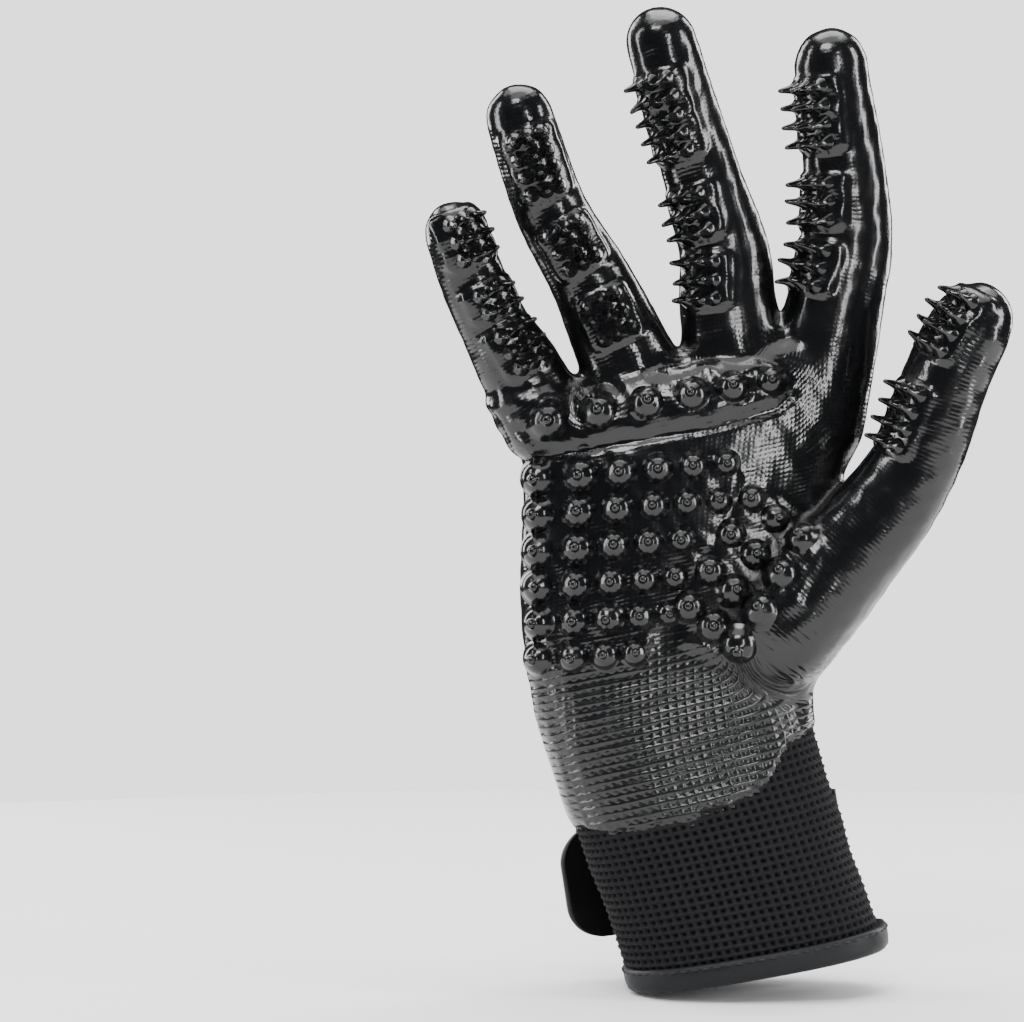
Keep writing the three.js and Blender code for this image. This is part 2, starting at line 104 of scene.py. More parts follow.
SPIKE = dict(pitch=4.8, across=4.3, columns=3, sides=12, profile=[
    (2.45, -0.5), (2.2, 0.1), (1.6, 0.75), (1.15, 1.7), (0.9, 2.9), (0.72, 4.1), (0.58, 4.9), (0.34, 5.3),
    (0, 5.4)])
NUB = dict(sides=24, size=1.02, profile=[
    (5.3, -0.7), (4.7, -0.1), (4.2, 0.5), (3.85, 1.2), (3.25, 2.05), (2.45, 2.7), (1.75, 3.05), (1.3, 3.4),
    (1.2, 3.8), (1.05, 4.25), (0.65, 4.6), (0, 4.72)])
WAFFLE = dict(columns=78, pitch=2.0, depth=1.25, top=71.0, fine=6)
STRAP = dict(start=-50, end=19, half=15, centre=25, tilt=math.radians(10), lift=3.3, standoff=9,
             radius=9.5)
PALM_PATCHES = {
    "knuckle": [(-74, 132), (-58, 134), (-38, 138), (-14, 142), (3, 146.5), (8, 151), (4, 155.5),
                (-12, 155.5), (-36, 152.5), (-58, 148.5), (-74, 146)],
    "palm": [(-78, 129), (-40, 131.5), (-9, 132), (-5, 126), (-14, 108), (-24, 90), (-33, 78), (-50, 75),
             (-78, 72)],
    "thumb_ball": [(-3, 124), (4, 121), (13, 115), (15, 108), (8, 94), (-1, 83), (-12, 79), (-20, 84),
                   (-20, 92)],
}
PATCH_HEIGHTS = (1.3, 0.55, 0.95)  # each palm patch's share of a full patch's height

# ---- Small mathematics ----


def smooth_rows(rows, steps):
    """Rows of numbers resampled along a smooth curve through them."""
    rows = np.asarray(rows, float)
    padded = np.vstack([2 * rows[0] - rows[1], rows, 2 * rows[-1] - rows[-2]])
    out = []
    for i in range(len(rows) - 1):
        a, b, c, d = padded[i:i + 4]
        for t in np.arange(steps) / steps:
            out.append(b + 0.5 * t * (c - a + t * (2 * a - 5 * b + 4 * c - d + t * (3 * (b - c) + d - a))))
    return np.array(out + [rows[-1]])


def unit(v):
    """v, or each row of it, made one long."""
    v = np.asarray(v, float)
    return v / np.linalg.norm(v, axis=-1, keepdims=True)


def step(value, low, high):
    """0 below low, 1 above high, smooth between."""
    t = np.clip((value - low) / (high - low), 0, 1)
    return t * t * (3 - 2 * t)


def turned(v, axis, degrees):
    """v turned about a unit axis."""
    a = math.radians(degrees)
    v, axis = np.asarray(v, float), np.asarray(axis, float)
    return v * math.cos(a) + np.cross(axis, v) * math.sin(a) + axis * (axis @ v) * (1 - math.cos(a))


def soft_min(a, b, reach):
    """The lesser of a and b, rounded where they are closer than reach."""
    h = np.maximum(reach - np.abs(a - b), 0) / reach
    return np.minimum(a, b) - h * h * reach / 4


def ripple(points, scale, seed):
    """Smooth irregular waves between -1 and 1."""
    waves = np.random.default_rng(seed)
    total = np.zeros(len(points))
    for _ in range(6):
        direction = unit(waves.normal(size=3))
        length = scale * waves.uniform(0.7, 1.5)
        total += np.sin(points @ direction * 2 * math.pi / length + waves.uniform(0, 6.3))
    return total / 3.5


def polygon_depth(x, z, corners):
    """How far inside a polygon a point lies, negative outside."""
    corners = np.asarray(corners, float)
    best = np.full(len(x), np.inf)
    inside = np.zeros(len(x), bool)
    for (ax, az), (bx, bz) in zip(corners, np.roll(corners, -1, 0)):
        wide, tall = bx - ax, bz - az
        t = np.clip(((x - ax) * wide + (z - az) * tall) / (wide ** 2 + tall ** 2), 0, 1)
        best = np.minimum(best, np.hypot(x - ax - t * wide, z - az - t * tall))
        crosses = (az > z) != (bz > z)
        inside ^= crosses & (x < wide * (z - az) / (tall + 1e-12) + ax)
    return np.where(inside, best, -best)


# ---- The glove's body as distances ----
JOINTS = {j["child"]: j for j in frame["joints"]}
SEGMENTS = {name: [s for s in ("proximal", "middle", "distal") if f"{name}_{s}" in JOINTS] for name in DIGITS}


class Digit:
    """A finger or thumb: its joints, the directions along it, and the distance to its skin."""

    def __init__(self, name, heel, tip, wide, roll, rows):
        joints = [JOINTS[f"{name}_{s}"] for s in SEGMENTS[name]]
        self.name, self.roll, self.wide, self.spike_rows = name, roll, wide, rows
        self.segments = SEGMENTS[name]
        self.joints = np.array([j["pos_m"] for j in joints]) / MM
        self.points = np.vstack([heel, self.joints, tip])
        self.sides = unit(np.array([j["axis"] for j in joints]))
        rows = smooth_rows(np.column_stack([self.points, wide]), 7)
        crown = rows[-1, :3] - unit(rows[-1, :3] - rows[-2, :3]) * rows[-1, 3]
        keep = (rows[:, :3] - crown) @ unit(rows[-1, :3] - rows[-2, :3]) < -0.5
        self.rows = np.vstack([rows[keep], np.append(crown, rows[-1, 3])])
        self.lengths = np.append(0, np.cumsum(np.linalg.norm(np.diff(self.rows[:, :3], axis=0), axis=1)))
        self.total = self.lengths[-1]

    def frame_at(self, joint):
        """Along, forward and sideways directions just past a joint."""
        along = unit(self.points[joint + 2] - self.points[joint + 1])
        side = self.sides[joint]
        forward = unit(np.cross(side, along))
        return along, forward, np.cross(along, forward)

    def measure(self, points):
        """For each point: distance to the skin, length along, across and forward of the middle."""
        best = np.full(len(points), 60.0)
        place = np.zeros((len(points), 3))
        for i in range(len(self.rows) - 1):
            a, b = self.rows[i], self.rows[i + 1]
            ab = b[:3] - a[:3]
            length = np.linalg.norm(ab)
            t = np.clip((points - a[:3]) @ ab / length ** 2, 0, 1)
            wide = a[3] + (b[3] - a[3]) * t
            q = points - a[:3] - t[:, None] * ab
            nearest = np.argmin(np.linalg.norm(self.joints - a[:3], axis=1))
            forward = unit(np.cross(self.sides[nearest], ab))
            side = np.cross(ab / length, forward)
            across, front, beyond = q @ side, q @ forward, q @ (ab / length)
            rho = np.sqrt((across / wide) ** 2 + (front / (wide * FINGER_DEPTH)) ** 2 + (beyond / wide) ** 2)
            distance = (rho - 1) * wide * 0.94
            closer = distance < best
            best = np.where(closer, distance, best)
            new = np.column_stack([self.lengths[i] + t * length + beyond, across, front])
            place[closer] = new[closer]
        return best, place


HAND_ROWS = smooth_rows(HAND, 10)


def oval_at(s):
    """The hand's oval at a height up its middle line: x, half width, half depth and tilt in radians."""
    x, wide, deep, tilt = (np.interp(s, HAND_ROWS[:, 1], HAND_ROWS[:, k]) for k in (0, 2, 3, 4))
    return x, wide, deep, np.radians(tilt)


def hand_frame(points):
    """Each point's oval on the hand: its centre line values, and the point's place in that oval."""
    bottom, top = HAND_ROWS[0, 1], HAND_ROWS[-1, 1]
    s = points[:, 2].copy()
    for _ in range(5):
        s = np.clip(s, bottom, top)
        x, _, _, tilt = oval_at(s)
        s = s + ((points[:, 2] - s) * np.cos(tilt) - (points[:, 0] - x) * np.sin(tilt))
    beyond = np.where(s > top, s - top, 0)
    s = np.clip(s, bottom, top)
    x, wide, deep, tilt = oval_at(s)
    across = (points[:, 0] - x) * np.cos(tilt) + (points[:, 2] - s) * np.sin(tilt)
    return s, across, -points[:, 1], wide, deep, beyond


def hand_distance(points):
    """How far outside the hand's skin each point lies, negative inside."""
    s, across, front, wide, deep, beyond = hand_frame(points)
    rho = (np.abs(across / wide) ** HAND_POWER + np.abs(front / deep) ** HAND_POWER) ** (1 / HAND_POWER)
    rho = np.maximum(rho, 0.05)
    flat = np.maximum(np.hypot(across, front) * (1 - 1 / rho), -deep)
    return np.where(beyond > 0, np.hypot(np.maximum(flat + 2, 0), beyond) - 2, flat)


digits = {name: Digit(name, **facts) for name, facts in DIGITS.items()}


def skin_distance(points):
    """How far outside the whole glove each point lies, with the skin rounded off between the digits."""
    total = hand_distance(points)
    for digit in digits.values():
        low, high = digit.rows[:, :3].min(0) - 26, digit.rows[:, :3].max(0) + 26
        near = np.all((points > low) & (points < high), axis=1)
        distance = digit.measure(points[near])[0]
        total[near] = soft_min(total[near], distance, WEB)
    return total


def skin_mesh():
    """The glove's outer surface above the wrist as vertices and four-sided faces."""
    low = np.array([-94.0, -34.0, 24.0])
    high = np.array([72.0, 26.0, 254.0])
    counts = np.ceil((high - low) / VOXEL).astype(int)
    axes = [low[k] + VOXEL * np.arange(counts[k]) for k in range(3)]
    points = np.stack(np.meshgrid(*axes, indexing="ij"), -1).reshape(-1, 3)
    values = np.clip(skin_distance(points), -4, 4).astype(np.float32).reshape(counts)
    grid = vdb.FloatGrid(4.0)
    grid.copyFromArray(values)
    spots, quads = grid.convertToQuads(isovalue=0.0)
    return np.asarray(spots, float) * VOXEL + low, np.asarray(quads, int)[:, ::-1]


def normals_of(spots, faces):
    """Smooth vertex normals, weighted by face area."""
    crossed = np.cross(spots[faces[:, 2]] - spots[faces[:, 0]], spots[faces[:, 3]] - spots[faces[:, 1]])
    total = np.zeros_like(spots)
    for corner in range(4):
        np.add.at(total, faces[:, corner], crossed)
    return unit(total + 1e-12)


# ---- Where the coating, patches and knit lie ----
# The coating's edge above the cuff: x and z.
COAT_END = np.array([(-100, 37), (-45, 35), (-32, 36), (-19.5, 38), (-8, 43), (1.6, 48), (7, 57.7), (15, 62),
                     (60, 66)])


def above_coat_end(x, z):
    """How far above the coating's edge a point lies."""
    return z - np.interp(x, COAT_END[:, 0], COAT_END[:, 1])


class Skin:
    """The surface, with what each vertex needs for its looks and its motion."""

    def __init__(self):
        self.base, self.faces = skin_mesh()
        outward = normals_of(self.base, self.faces)
        if np.mean(outward[:, 1] * np.sign(self.base[:, 1])) < 0:
            self.faces = self.faces[:, ::-1]
            outward = -outward
        self.outward = outward
        waves = 0.28 * ripple(self.base, 15, 3) + 0.1 * ripple(self.base, 6, 4)
        self.base = self.base + self.outward * waves[:, None]
        self.measure()

    def measure(self):
        """Works out each vertex's nearest digit, weave, and depth inside the coating and the patches."""
        points = self.base
        s, across, front, wide, deep, _ = hand_frame(points)
        hand = hand_distance(points)
        distances = [hand]
        courses, wales = [s], [across]
        edge = front + 3.0
        coated = [edge]
        pads = np.full(len(points), OUTSIDE)
        for digit in digits.values():
            distance, place = digit.measure(points)
            knuckle = digit.joints[0]
            s0, across0 = (value[0] for value in hand_frame(knuckle[None])[:2])
            along0 = digit.lengths[np.argmin(np.linalg.norm(digit.rows[:, :3] - knuckle, axis=1))]
            distances.append(distance)
            courses.append(s0 + place[:, 0] - along0)
            wales.append(across0 + place[:, 1])
            coated.append(self.digit_coat(digit, place))
            pads = np.maximum(pads, self.pad_depth(digit, points, distance))
        distances = np.array(distances)
        share = np.exp(-np.clip(distances - distances.min(0), 0, 60) / 1.6)
        share /= share.sum(0)
        self.nearest = np.argmin(distances, axis=0)
        self.weave = np.column_stack([(share * np.array(wales)).sum(0), (share * np.array(courses)).sum(0)])
        side = (share * np.array(coated)).sum(0)
        x, z = points[:, 0], points[:, 2]
        low = above_coat_end(x, z) + 0.7 * ripple(points, 5, 9)
        self.coat = np.minimum(side + 0.25 * ripple(points, 9, 12), low)
        palm = np.maximum.reduce([
            step(polygon_depth(x, z, corners) + 1.1 * ripple(points, 11, 31), -2.4, 1.8) * height
            for corners, height in zip(PALM_PATCHES.values(), PATCH_HEIGHTS)])
        on_palm = points[:, 1] < 1
        self.raised = np.maximum(step(pads, -0.8, 0.9), np.where(on_palm, palm, 0))
        knuckle_depth = polygon_depth(x, z, PALM_PATCHES["knuckle"])
        just_below = polygon_depth(x, z + 3, PALM_PATCHES["knuckle"])
        self.crease = np.exp(-((knuckle_depth + 2.8) / 1.3) ** 2) * step(just_below, -2, 0) * on_palm

    def digit_coat(self, digit, place):
        """How far inside the coated part a point on a digit lies: all but a tongue on its back."""
        if digit.name == "thumb":
            return place[:, 2] + 16
        wide = np.interp(place[:, 0], digit.lengths, digit.rows[:, 3])
        back = place[:, 2] + 0.42 * wide
        tip = place[:, 0] - (digit.total - 3.5)
        return np.maximum(back, tip * 0.8 + np.abs(place[:, 1]) * 0.55)

    def pad_depth(self, digit, points, distance):
        """How far inside a finger's raised patches a point lies."""
        depth = np.full(len(points), OUTSIDE)
        radius = 2.2
        half_across = SPIKE["across"] * SPIKE["columns"] / 2 + 0.6
        for row in pad_rows(digit):
            q = points - row["centre"]
            over_across = np.abs(q @ row["across"]) - half_across
            over_along = np.abs(q @ row["along"]) - row["half"]
            inside = -np.maximum(over_across, over_along)
            past_across, past_along = np.maximum(over_across + radius, 0), np.maximum(over_along + radius, 0)
            corner = radius - np.hypot(past_across, past_along)
            value = np.where((over_across > -radius) & (over_along > -radius), corner, inside)
            facing = (q @ row["outward"] > 1.0) & (distance < 6)
            depth = np.maximum(depth, np.where(facing, value, OUTSIDE))
        return depth


def pad_rows(digit):
    """Each spiked patch of a digit: its centre on the digit's middle line and its directions."""
    for joint, segment in enumerate(digit.segments):
        start, end = digit.points[joint + 1], digit.points[joint + 2]
        along, forward, _ = digit.frame_at(joint)
        length = np.linalg.norm(end - start)
        rows = digit.spike_rows[joint]
        last = joint == len(digit.segments) - 1
        room = length - (0.35 * digit.wide[-1] if last else 0)
        reach = min(rows * SPIKE["pitch"], room)
        low = min(2.6, room - reach) if last else (room - reach) / 2
        high = low + reach
        outward = turned(forward, along, digit.roll)
        yield dict(segment=segment, joint=joint, rows=rows, start=start, low=low, high=high,
                   along=along, outward=outward, across=np.cross(along, outward),
                   centre=start + along * (low + high) / 2, half=reach / 2 + 0.4)


skin = Skin()
lift = step(skin.coat, -0.9, 0.9) * (COAT + 0.45) - 0.45
wet = step(skin.coat, 0, 2)
lift = lift + PATCH * skin.raised * (1 + 0.22 * ripple(skin.base, 5, 33)) * wet - CREASE * skin.crease * wet
COATED = skin.base + skin.outward * lift[:, None]
coat_normals = normals_of(COATED, skin.faces)
knit_normals = normals_of(skin.base, skin.faces)
coat_tree = BVHTree.FromPolygons(COATED.tolist(), skin.faces.tolist())

# ---- Materials ----


def shader(name, color, roughness, **sockets):
    """A material with its Principled shader's plain values set."""
    made = bpy.data.materials.new(name)
    made.use_nodes = True
    node = made.node_tree.nodes["Principled BSDF"]
    node.inputs["Base Color"].default_value = (*color, 1)
    node.inputs["Roughness"].default_value = roughness
    for socket, value in sockets.items():
        node.inputs[socket.replace("_", " ")].default_value = value
    return made, node


class Nodes:
    """Short calls for wiring a material's texture nodes."""

    def __init__(self, made, node):
        self.tree, self.shader = made.node_tree, node

    def add(self, kind, **values):
        node = self.tree.nodes.new(kind)
        for key, value in values.items():
            if key in node.inputs:
                node.inputs[key].default_value = value
            else:
                setattr(node, key, value)
        return node

    def link(self, a, b):
        self.tree.links.new(a, b)

    def math(self, operation, a, b):
        node = self.add("ShaderNodeMath", operation=operation)
        for socket, value in zip(node.inputs, (a, b)):
            if isinstance(value, (int, float)):
                socket.default_value = value
            else:
                self.link(value, socket)
        return node.outputs[0]

    def times(self, a, b):
        return self.math("MULTIPLY", a, b)

    def plus(self, a, b):
        return self.math("ADD", a, b)

    def weave(self):
        return self.add("ShaderNodeUVMap", uv_map="Weave").outputs["UV"]

    def place(self):
        return self.add("ShaderNodeTexCoord").outputs["Object"]

    def waves(self, vector, direction, pitch, distortion=0.0, detail=0.0, detail_scale=1.0):
        node = self.add("ShaderNodeTexWave", bands_direction=direction, Scale=math.pi / 10 / pitch,
                        Distortion=distortion, Detail=detail)
        node.inputs["Detail Scale"].default_value = detail_scale
        self.link(vector, node.inputs["Vector"])
        return node.outputs["Fac"]

    def noise(self, vector, scale, detail=3.0):
        node = self.add("ShaderNodeTexNoise", Scale=scale, Detail=detail)
        self.link(vector, node.inputs["Vector"])
        return node.outputs["Fac"]

    def ramp(self, value, low, high):
        node = self.add("ShaderNodeMapRange")
        node.inputs["To Min"].default_value = low
        node.inputs["To Max"].default_value = high
        self.link(value, node.inputs["Value"])
        return node.outputs["Result"]

    def height_ramp(self, high, low):
        """0 above one height in metres and 1 below another."""
        apart = self.add("ShaderNodeSeparateXYZ")
        self.link(self.place(), apart.inputs[0])
        node = self.add("ShaderNodeMapRange", interpolation_type="SMOOTHSTEP")
        node.inputs["From Min"].default_value = high
        node.inputs["From Max"].default_value = low
        self.link(apart.outputs["Z"], node.inputs["Value"])
        return node.outputs["Result"]

    def tint(self, value, dark, light):
        node = self.add("ShaderNodeMix", data_type="RGBA")
        node.inputs[6].default_value = (*dark, 1)
        node.inputs[7].default_value = (*light, 1)
        self.link(value, node.inputs[0])
        self.link(node.outputs[2], self.shader.inputs["Base Color"])

    def bump(self, height, distance, strength=1.0, below=None):
        node = self.add("ShaderNodeBump", Strength=strength, Distance=distance)
        self.link(height, node.inputs["Height"])
        if below is not None:
            self.link(below, node.inputs["Normal"])
        return node.outputs["Normal"]

    def finish(self, normal=None, roughness=None):
        if normal is not None:
            self.link(normal, self.shader.inputs["Normal"])
        if roughness is not None:
            self.link(roughness, self.shader.inputs["Roughness"])


def rubber_material(name, ribs):
    """Glossy dipped nitrile: knit ribs show through it, and a coarser mesh where it thins above the cuff."""
    made, node = shader(name, (0.0036, 0.0038, 0.0043), 0.2, Specular_IOR_Level=0.45)
    n = Nodes(made, node)
    normal = n.bump(n.noise(n.place(), 90, 2), 0.0011, 0.5)
    gloss = n.ramp(n.noise(n.place(), 130, 4), 0.1, 0.26)
    if ribs:
        weave = n.weave()
        thin = n.height_ramp(0.092, 0.07)
        course = n.waves(weave, "Y", 1.15, distortion=2.2, detail=2.0, detail_scale=1.4)
        wale = n.waves(weave, "X", 1.35, distortion=1.6, detail=1.0, detail_scale=1.2)
        fine = n.times(course, n.plus(n.times(wale, 0.65), 0.35))
        patchy = n.math("MAXIMUM", n.ramp(n.noise(n.place(), 38, 3), -0.35, 1.35), 0.15)
        normal = n.bump(n.times(fine, patchy), 0.000055, 0.8, below=normal)
        rows = n.waves(weave, "Y", WAFFLE["pitch"], distortion=0.8, detail=1.0)
        cells = n.waves(weave, "X", 2.4, distortion=0.8, detail=1.0)
        mesh = n.times(n.math("MAXIMUM", rows, n.times(cells, 0.7)), thin)
        normal = n.bump(mesh, 0.00026, 0.9, below=normal)
        gloss = n.plus(gloss, n.times(thin, 0.07))
    n.finish(n.bump(n.noise(n.place(), 1500, 2), 0.00003, 0.5, below=normal), gloss)
    return made


def knit_material():
    """Fine matte knit: upright wales of small loops, with painted shade that darkens the grooves between
    them.
    """
    made, node = shader("fine_knit", (0.004, 0.004, 0.0045), 0.88, Specular_IOR_Level=0.12)
    n = Nodes(made, node)
    weave = n.weave()
    wale = n.waves(weave, "X", 1.15, distortion=0.5, detail=1.0)
    loop = n.waves(weave, "Y", 0.82, distortion=0.9, detail=1.0)
    knit = n.plus(n.times(wale, 0.6), n.times(loop, 0.4))
    # The colour follows the loops' relief: painted shade, darker in the grooves, times uneven tone.
    shade = n.times(knit, n.ramp(n.noise(n.place(), 60, 3), 0.7, 1.2))
    n.tint(shade, (0.0006, 0.0006, 0.0007), (0.0095, 0.0095, 0.0105))
    fuzz = n.noise(n.place(), 2600, 3)
    n.finish(n.bump(fuzz, 0.0001, 0.4, below=n.bump(knit, 0.00035, 0.9)))
    return made


def yarn_material(name, dark, light, gloss=0.75):
    """Knitted or sewn yarn, whose shape is real and whose fibres are fine noise."""
    made, node = shader(name, light, gloss, Specular_IOR_Level=0.2)
    n = Nodes(made, node)
    n.tint(n.noise(n.place(), 900, 3), dark, light)
    n.finish(n.bump(n.noise(n.place(), 2400, 3), 0.00012, 0.6))
    return made


def waffle_material():
    """Cuff yarn with painted shade: near black in the hollows between the raised threads, paler on them, of
    uneven tone.
    """
    made, node = shader("waffle_yarn", (0.01, 0.01, 0.011), 0.85, Specular_IOR_Level=0.12)
    n = Nodes(made, node)
    weave = n.weave()
    # Painted shade: the yarn's colour is made near black in the hollows of the waffle.
    hollow_shade = n.times(n.waves(weave, "X", 1.0), n.waves(weave, "Y", 1.0))
    uneven = n.ramp(n.noise(n.place(), 900, 3), 0.45, 1.25)
    thread = n.times(n.math("SUBTRACT", 1.0, hollow_shade), uneven)
    n.tint(thread, (0.0006, 0.0006, 0.0008), (0.0125, 0.0125, 0.0138))
    n.finish(n.bump(n.noise(n.place(), 2400, 3), 0.00016, 0.8))
    return made


def moulded_material(name, color, roughness, grain=0.00005, shine=0.45):
    """Moulded rubber or coated tape: a faint grain and uneven sheen."""
    made, node = shader(name, color, roughness, Specular_IOR_Level=shine)
    n = Nodes(made, node)
    broad = n.bump(n.noise(n.place(), 160, 3), 0.0004, 0.5)
    normal = n.bump(n.noise(n.place(), 1800, 2), grain, 0.6, below=broad)
    n.finish(normal, n.ramp(n.noise(n.place(), 260, 4), roughness - 0.1, roughness + 0.12))
    return made


RUBBER = rubber_material("dipped_rubber", ribs=True)
SMOOTH_RUBBER = rubber_material("moulded_rubber", ribs=False)
KNIT = knit_material()
WAFFLE_YARN = waffle_material()
THREAD = yarn_material("sewing_thread", (0.008, 0.008, 0.009), (0.03, 0.03, 0.033), 0.6)
TAPE = yarn_material("fastener_tape", (0.004, 0.004, 0.004), (0.02, 0.02, 0.02), 0.9)
BINDING = moulded_material("binding_tape", (0.006, 0.0066, 0.0078), 0.5, 0.00004, 0.2)
STRAP_RUBBER = moulded_material("strap_rubber", (0.0045, 0.0045, 0.0052), 0.48, 0.00006, 0.25)
GREEN = moulded_material("green_emblem", (0.02, 0.58, 0.012), 0.45, 0.00002)

# ---- Making pieces ----


def placed(name, data):
    """An object in the scene from its data."""
    made = bpy.data.objects.new(name, data)
    bpy.context.scene.collection.objects.link(made)
    return made


def stands_for(made, node, slot, body=None):
    """Hides the node a piece replaces and puts the piece on the body it rides on, if one is given; slot is
    not used.
    """
    if body:
        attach(made, body)
    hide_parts(node)


def piece(name, spots, faces, material, normals=None, weave=None):
    """A mesh object from millimetre vertices."""
    mesh = bpy.data.meshes.new(name)
    mesh.from_pydata((np.asarray(spots) * MM).tolist(), [], [list(map(int, face)) for face in faces])
    mesh.materials.append(material)
    mesh.polygons.foreach_set("use_smooth", [True] * len(mesh.polygons))
    if weave is not None:
        corners = np.zeros(len(mesh.loops), int)
        mesh.loops.foreach_get("vertex_index", corners)
        mesh.uv_layers.new(name="Weave").data.foreach_set("uv", weave[corners].ravel())
    if normals is not None:
        mesh.normals_split_custom_set_from_vertices(np.asarray(normals).tolist())
    return placed(name, mesh)


def part_of_skin(name, chosen, spots, normals, material):
    """The chosen faces of the skin as a piece of their own, with the whole skin's normals."""
    faces = skin.faces[chosen]
    used, compact = np.unique(faces, return_inverse=True)
    return piece(name, spots[used], compact.reshape(faces.shape), material, normals[used], skin.weave[used])


def lathe(shape, foot, direction, size=1.0, lean=(0, 0, 0)):
    """A turned shape standing on a point, leaning more toward its tip, as vertices and faces."""
    direction = unit(direction)
    first = unit(np.cross(direction, (0.31, 0.92, 0.24)))
    second = np.cross(direction, first)
    profile, sides = shape["profile"], shape["sides"]
    top = max(h for _, h in profile)
    spots = []
    for r, h in profile:
        middle = foot + direction * h * size + np.asarray(lean) * max(h, 0) ** 2 / top * size
        for k in range(sides if r else 1):
            a = 2 * math.pi * k / sides
            spots.append(middle + (first * math.cos(a) + second * math.sin(a)) * r * size)
    last = (len(profile) - 2) * sides
    faces = [tuple(face) for face in sheet_faces(len(profile) - 1, sides, True)]
    faces += [(last + k, last + (k + 1) % sides, last + sides) for k in range(sides)]
    return np.array(spots), faces


def sheet_faces(rows, columns, closed):
    """The faces of a grid of vertices, row by row."""
    faces = []
    for r in range(rows - 1):
        for c in range(columns if closed else columns - 1):
            d = (c + 1) % columns
            faces.append((r * columns + c, r * columns + d, (r + 1) * columns + d, (r + 1) * columns + c))
    return np.array(faces)


def tape(name, rings, inside_out=False):
    """A strip of binding tape: the lines of its section's corners, joined up and capped at both ends."""
    sides, count = len(rings), len(rings[0])
    faces = []
    for k in range(sides):
        m = (k + 1) % sides
        for i in range(count - 1):
            faces.append((k * count + i, k * count + i + 1, m * count + i + 1, m * count + i))
    faces.append(tuple(k * count for k in range(sides)))
    faces.append(tuple(k * count + count - 1 for k in range(sides))[::-1])
    if inside_out:
        faces = [face[:1] + face[:0:-1] for face in faces]
    return piece(name, np.concatenate(rings), faces, BINDING)


def merged(shapes):
    """Several (vertices, faces) as one."""
    spots, faces, count = [], [], 0
    for these, those in shapes:
        spots.append(these)
        faces += [tuple(index + count for index in face) for face in those]
        count += len(these)
    return np.vstack(spots), faces


def seat(origin, direction):
    """Where a line from outside meets the coating, and the coating's outward direction there."""
    hit, normal, _, _ = coat_tree.ray_cast(Vector(origin), Vector(direction))
    if hit is None:
        return None
    return np.array(hit), np.array(normal)


# ---- Regions: which faces move with what ----


def crotch_height(left, right):
    """The point where the skin between two neighbouring digits ends."""
    start = (left.joints[0] + right.joints[0]) / 2
    line = start + np.array([0.0, 0, 1]) * np.arange(-10, 14, 0.5)[:, None]
    return line[np.argmax(skin_distance(line) > 0)]


def knuckle_planes():
    """For each digit, the planes between which its first joint bends the skin."""
    row = [digits[name] for name in ("little", "ring", "middle", "index")]
    webs = [crotch_height(a, b) for a, b in zip(row, row[1:])]
    planes = {}
    for i, digit in enumerate(row):
        along = digit.frame_at(0)[0]
        ends = [web for k, web in enumerate(webs) if k in (i - 1, i)]
        if len(ends) == 2:
            line = unit(ends[1] - ends[0])
            square = unit(np.array([-line[2], 0, line[0]]))
            along = unit(along + square)
        start = max((web - digit.joints[0]) @ along for web in ends) + 0.6
        reach = np.linalg.norm(digit.joints[1] - digit.joints[0]) * 0.5
        end = max(reach, start + 5)
        planes[digit.name] = (digit.joints[0] + along * start, digit.joints[0] + along * end, along)
    thumb = digits["thumb"]
    across = unit(np.array([0.82, 0, 0.57]))
    start = thumb.joints[0] + across * 5.0
    planes["thumb"] = (start, start + across * 12, across)
    return planes


KNUCKLES = knuckle_planes()
names = list(DIGITS)


def blend_planes(digit, joint):
    """Where the skin starts and ends its bend at a joint."""
    if joint == 0:
        start, end, _ = KNUCKLES[digit.name]
        return start, end
    at = digit.joints[joint]
    along = unit(digit.points[joint + 2] - digit.points[joint])
    before = min(6.0, 0.42 * np.linalg.norm(at - digit.joints[joint - 1]))
    return at - along * before, at + along * 7.5


def region_of(points, nearest):
    """For each point, 0 on the hand, or 1 and up: which joint of which digit bends it."""
    region = np.zeros(len(points), int)
    for number, name in enumerate(names, start=1):
        digit = digits[name]
        start, _, normal = KNUCKLES[name]
        beside = nearest == 0
        if name != "thumb":
            across = (points - start) @ digit.frame_at(0)[2]
            beside = beside & (np.abs(across) < digit.wide[1] + 3)
        past = ((nearest == number) | beside) & ((points - start) @ normal > 0)
        region[past] = 10 * number
        for joint in range(1, len(digit.joints)):
            begin, _ = blend_planes(digit, joint)
            end = blend_planes(digit, joint - 1)[1]
            along = unit(digit.points[joint + 2] - digit.points[joint])
            middle = begin if (begin - end) @ along < 0.5 else (begin + end) / 2
            region[past & ((points - middle) @ along > 0)] = 10 * number + joint
    return region


centres = skin.base[skin.faces].mean(axis=1)
face_nearest = skin.nearest[skin.faces[:, 0]]
face_region = region_of(centres, face_nearest)
face_coat = skin.coat[skin.faces].mean(axis=1)


def bend(made, digit, joint):
    """Bakes a piece's placing into its mesh; where the skin starts and ends its bend at the joint is worked
    out but not used.
    """
    start, end = blend_planes(digit, joint)
    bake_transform(made)


def above_waffle(points):
    """How far above the line where the waffle goes under the fine knit a point lies."""
    return points[..., 2] - 66 - 0.15 * points[..., 0]


def knit_piece(name, chosen):
    """The part of the chosen skin that is left as fine knit."""
    return part_of_skin(name, chosen & (face_coat < KNIT_REACH), skin.base, knit_normals, KNIT)


def coat_piece(name, chosen):
    """The part of the chosen skin that is dipped in rubber."""
    return part_of_skin(name, chosen & (face_coat > -COAT_REACH), COATED, coat_normals, RUBBER)


# The hand's own skin.
on_hand = face_region == 0
hand_knit = knit_piece("hand_fine_knit", on_hand & (above_waffle(centres) > -0.8))
stands_for(hand_knit, "knit_hand", "black_knit", "hand")
stands_for(coat_piece("palm_dipped_coating", on_hand), "palm_coating", "dipped_rubber", "hand")

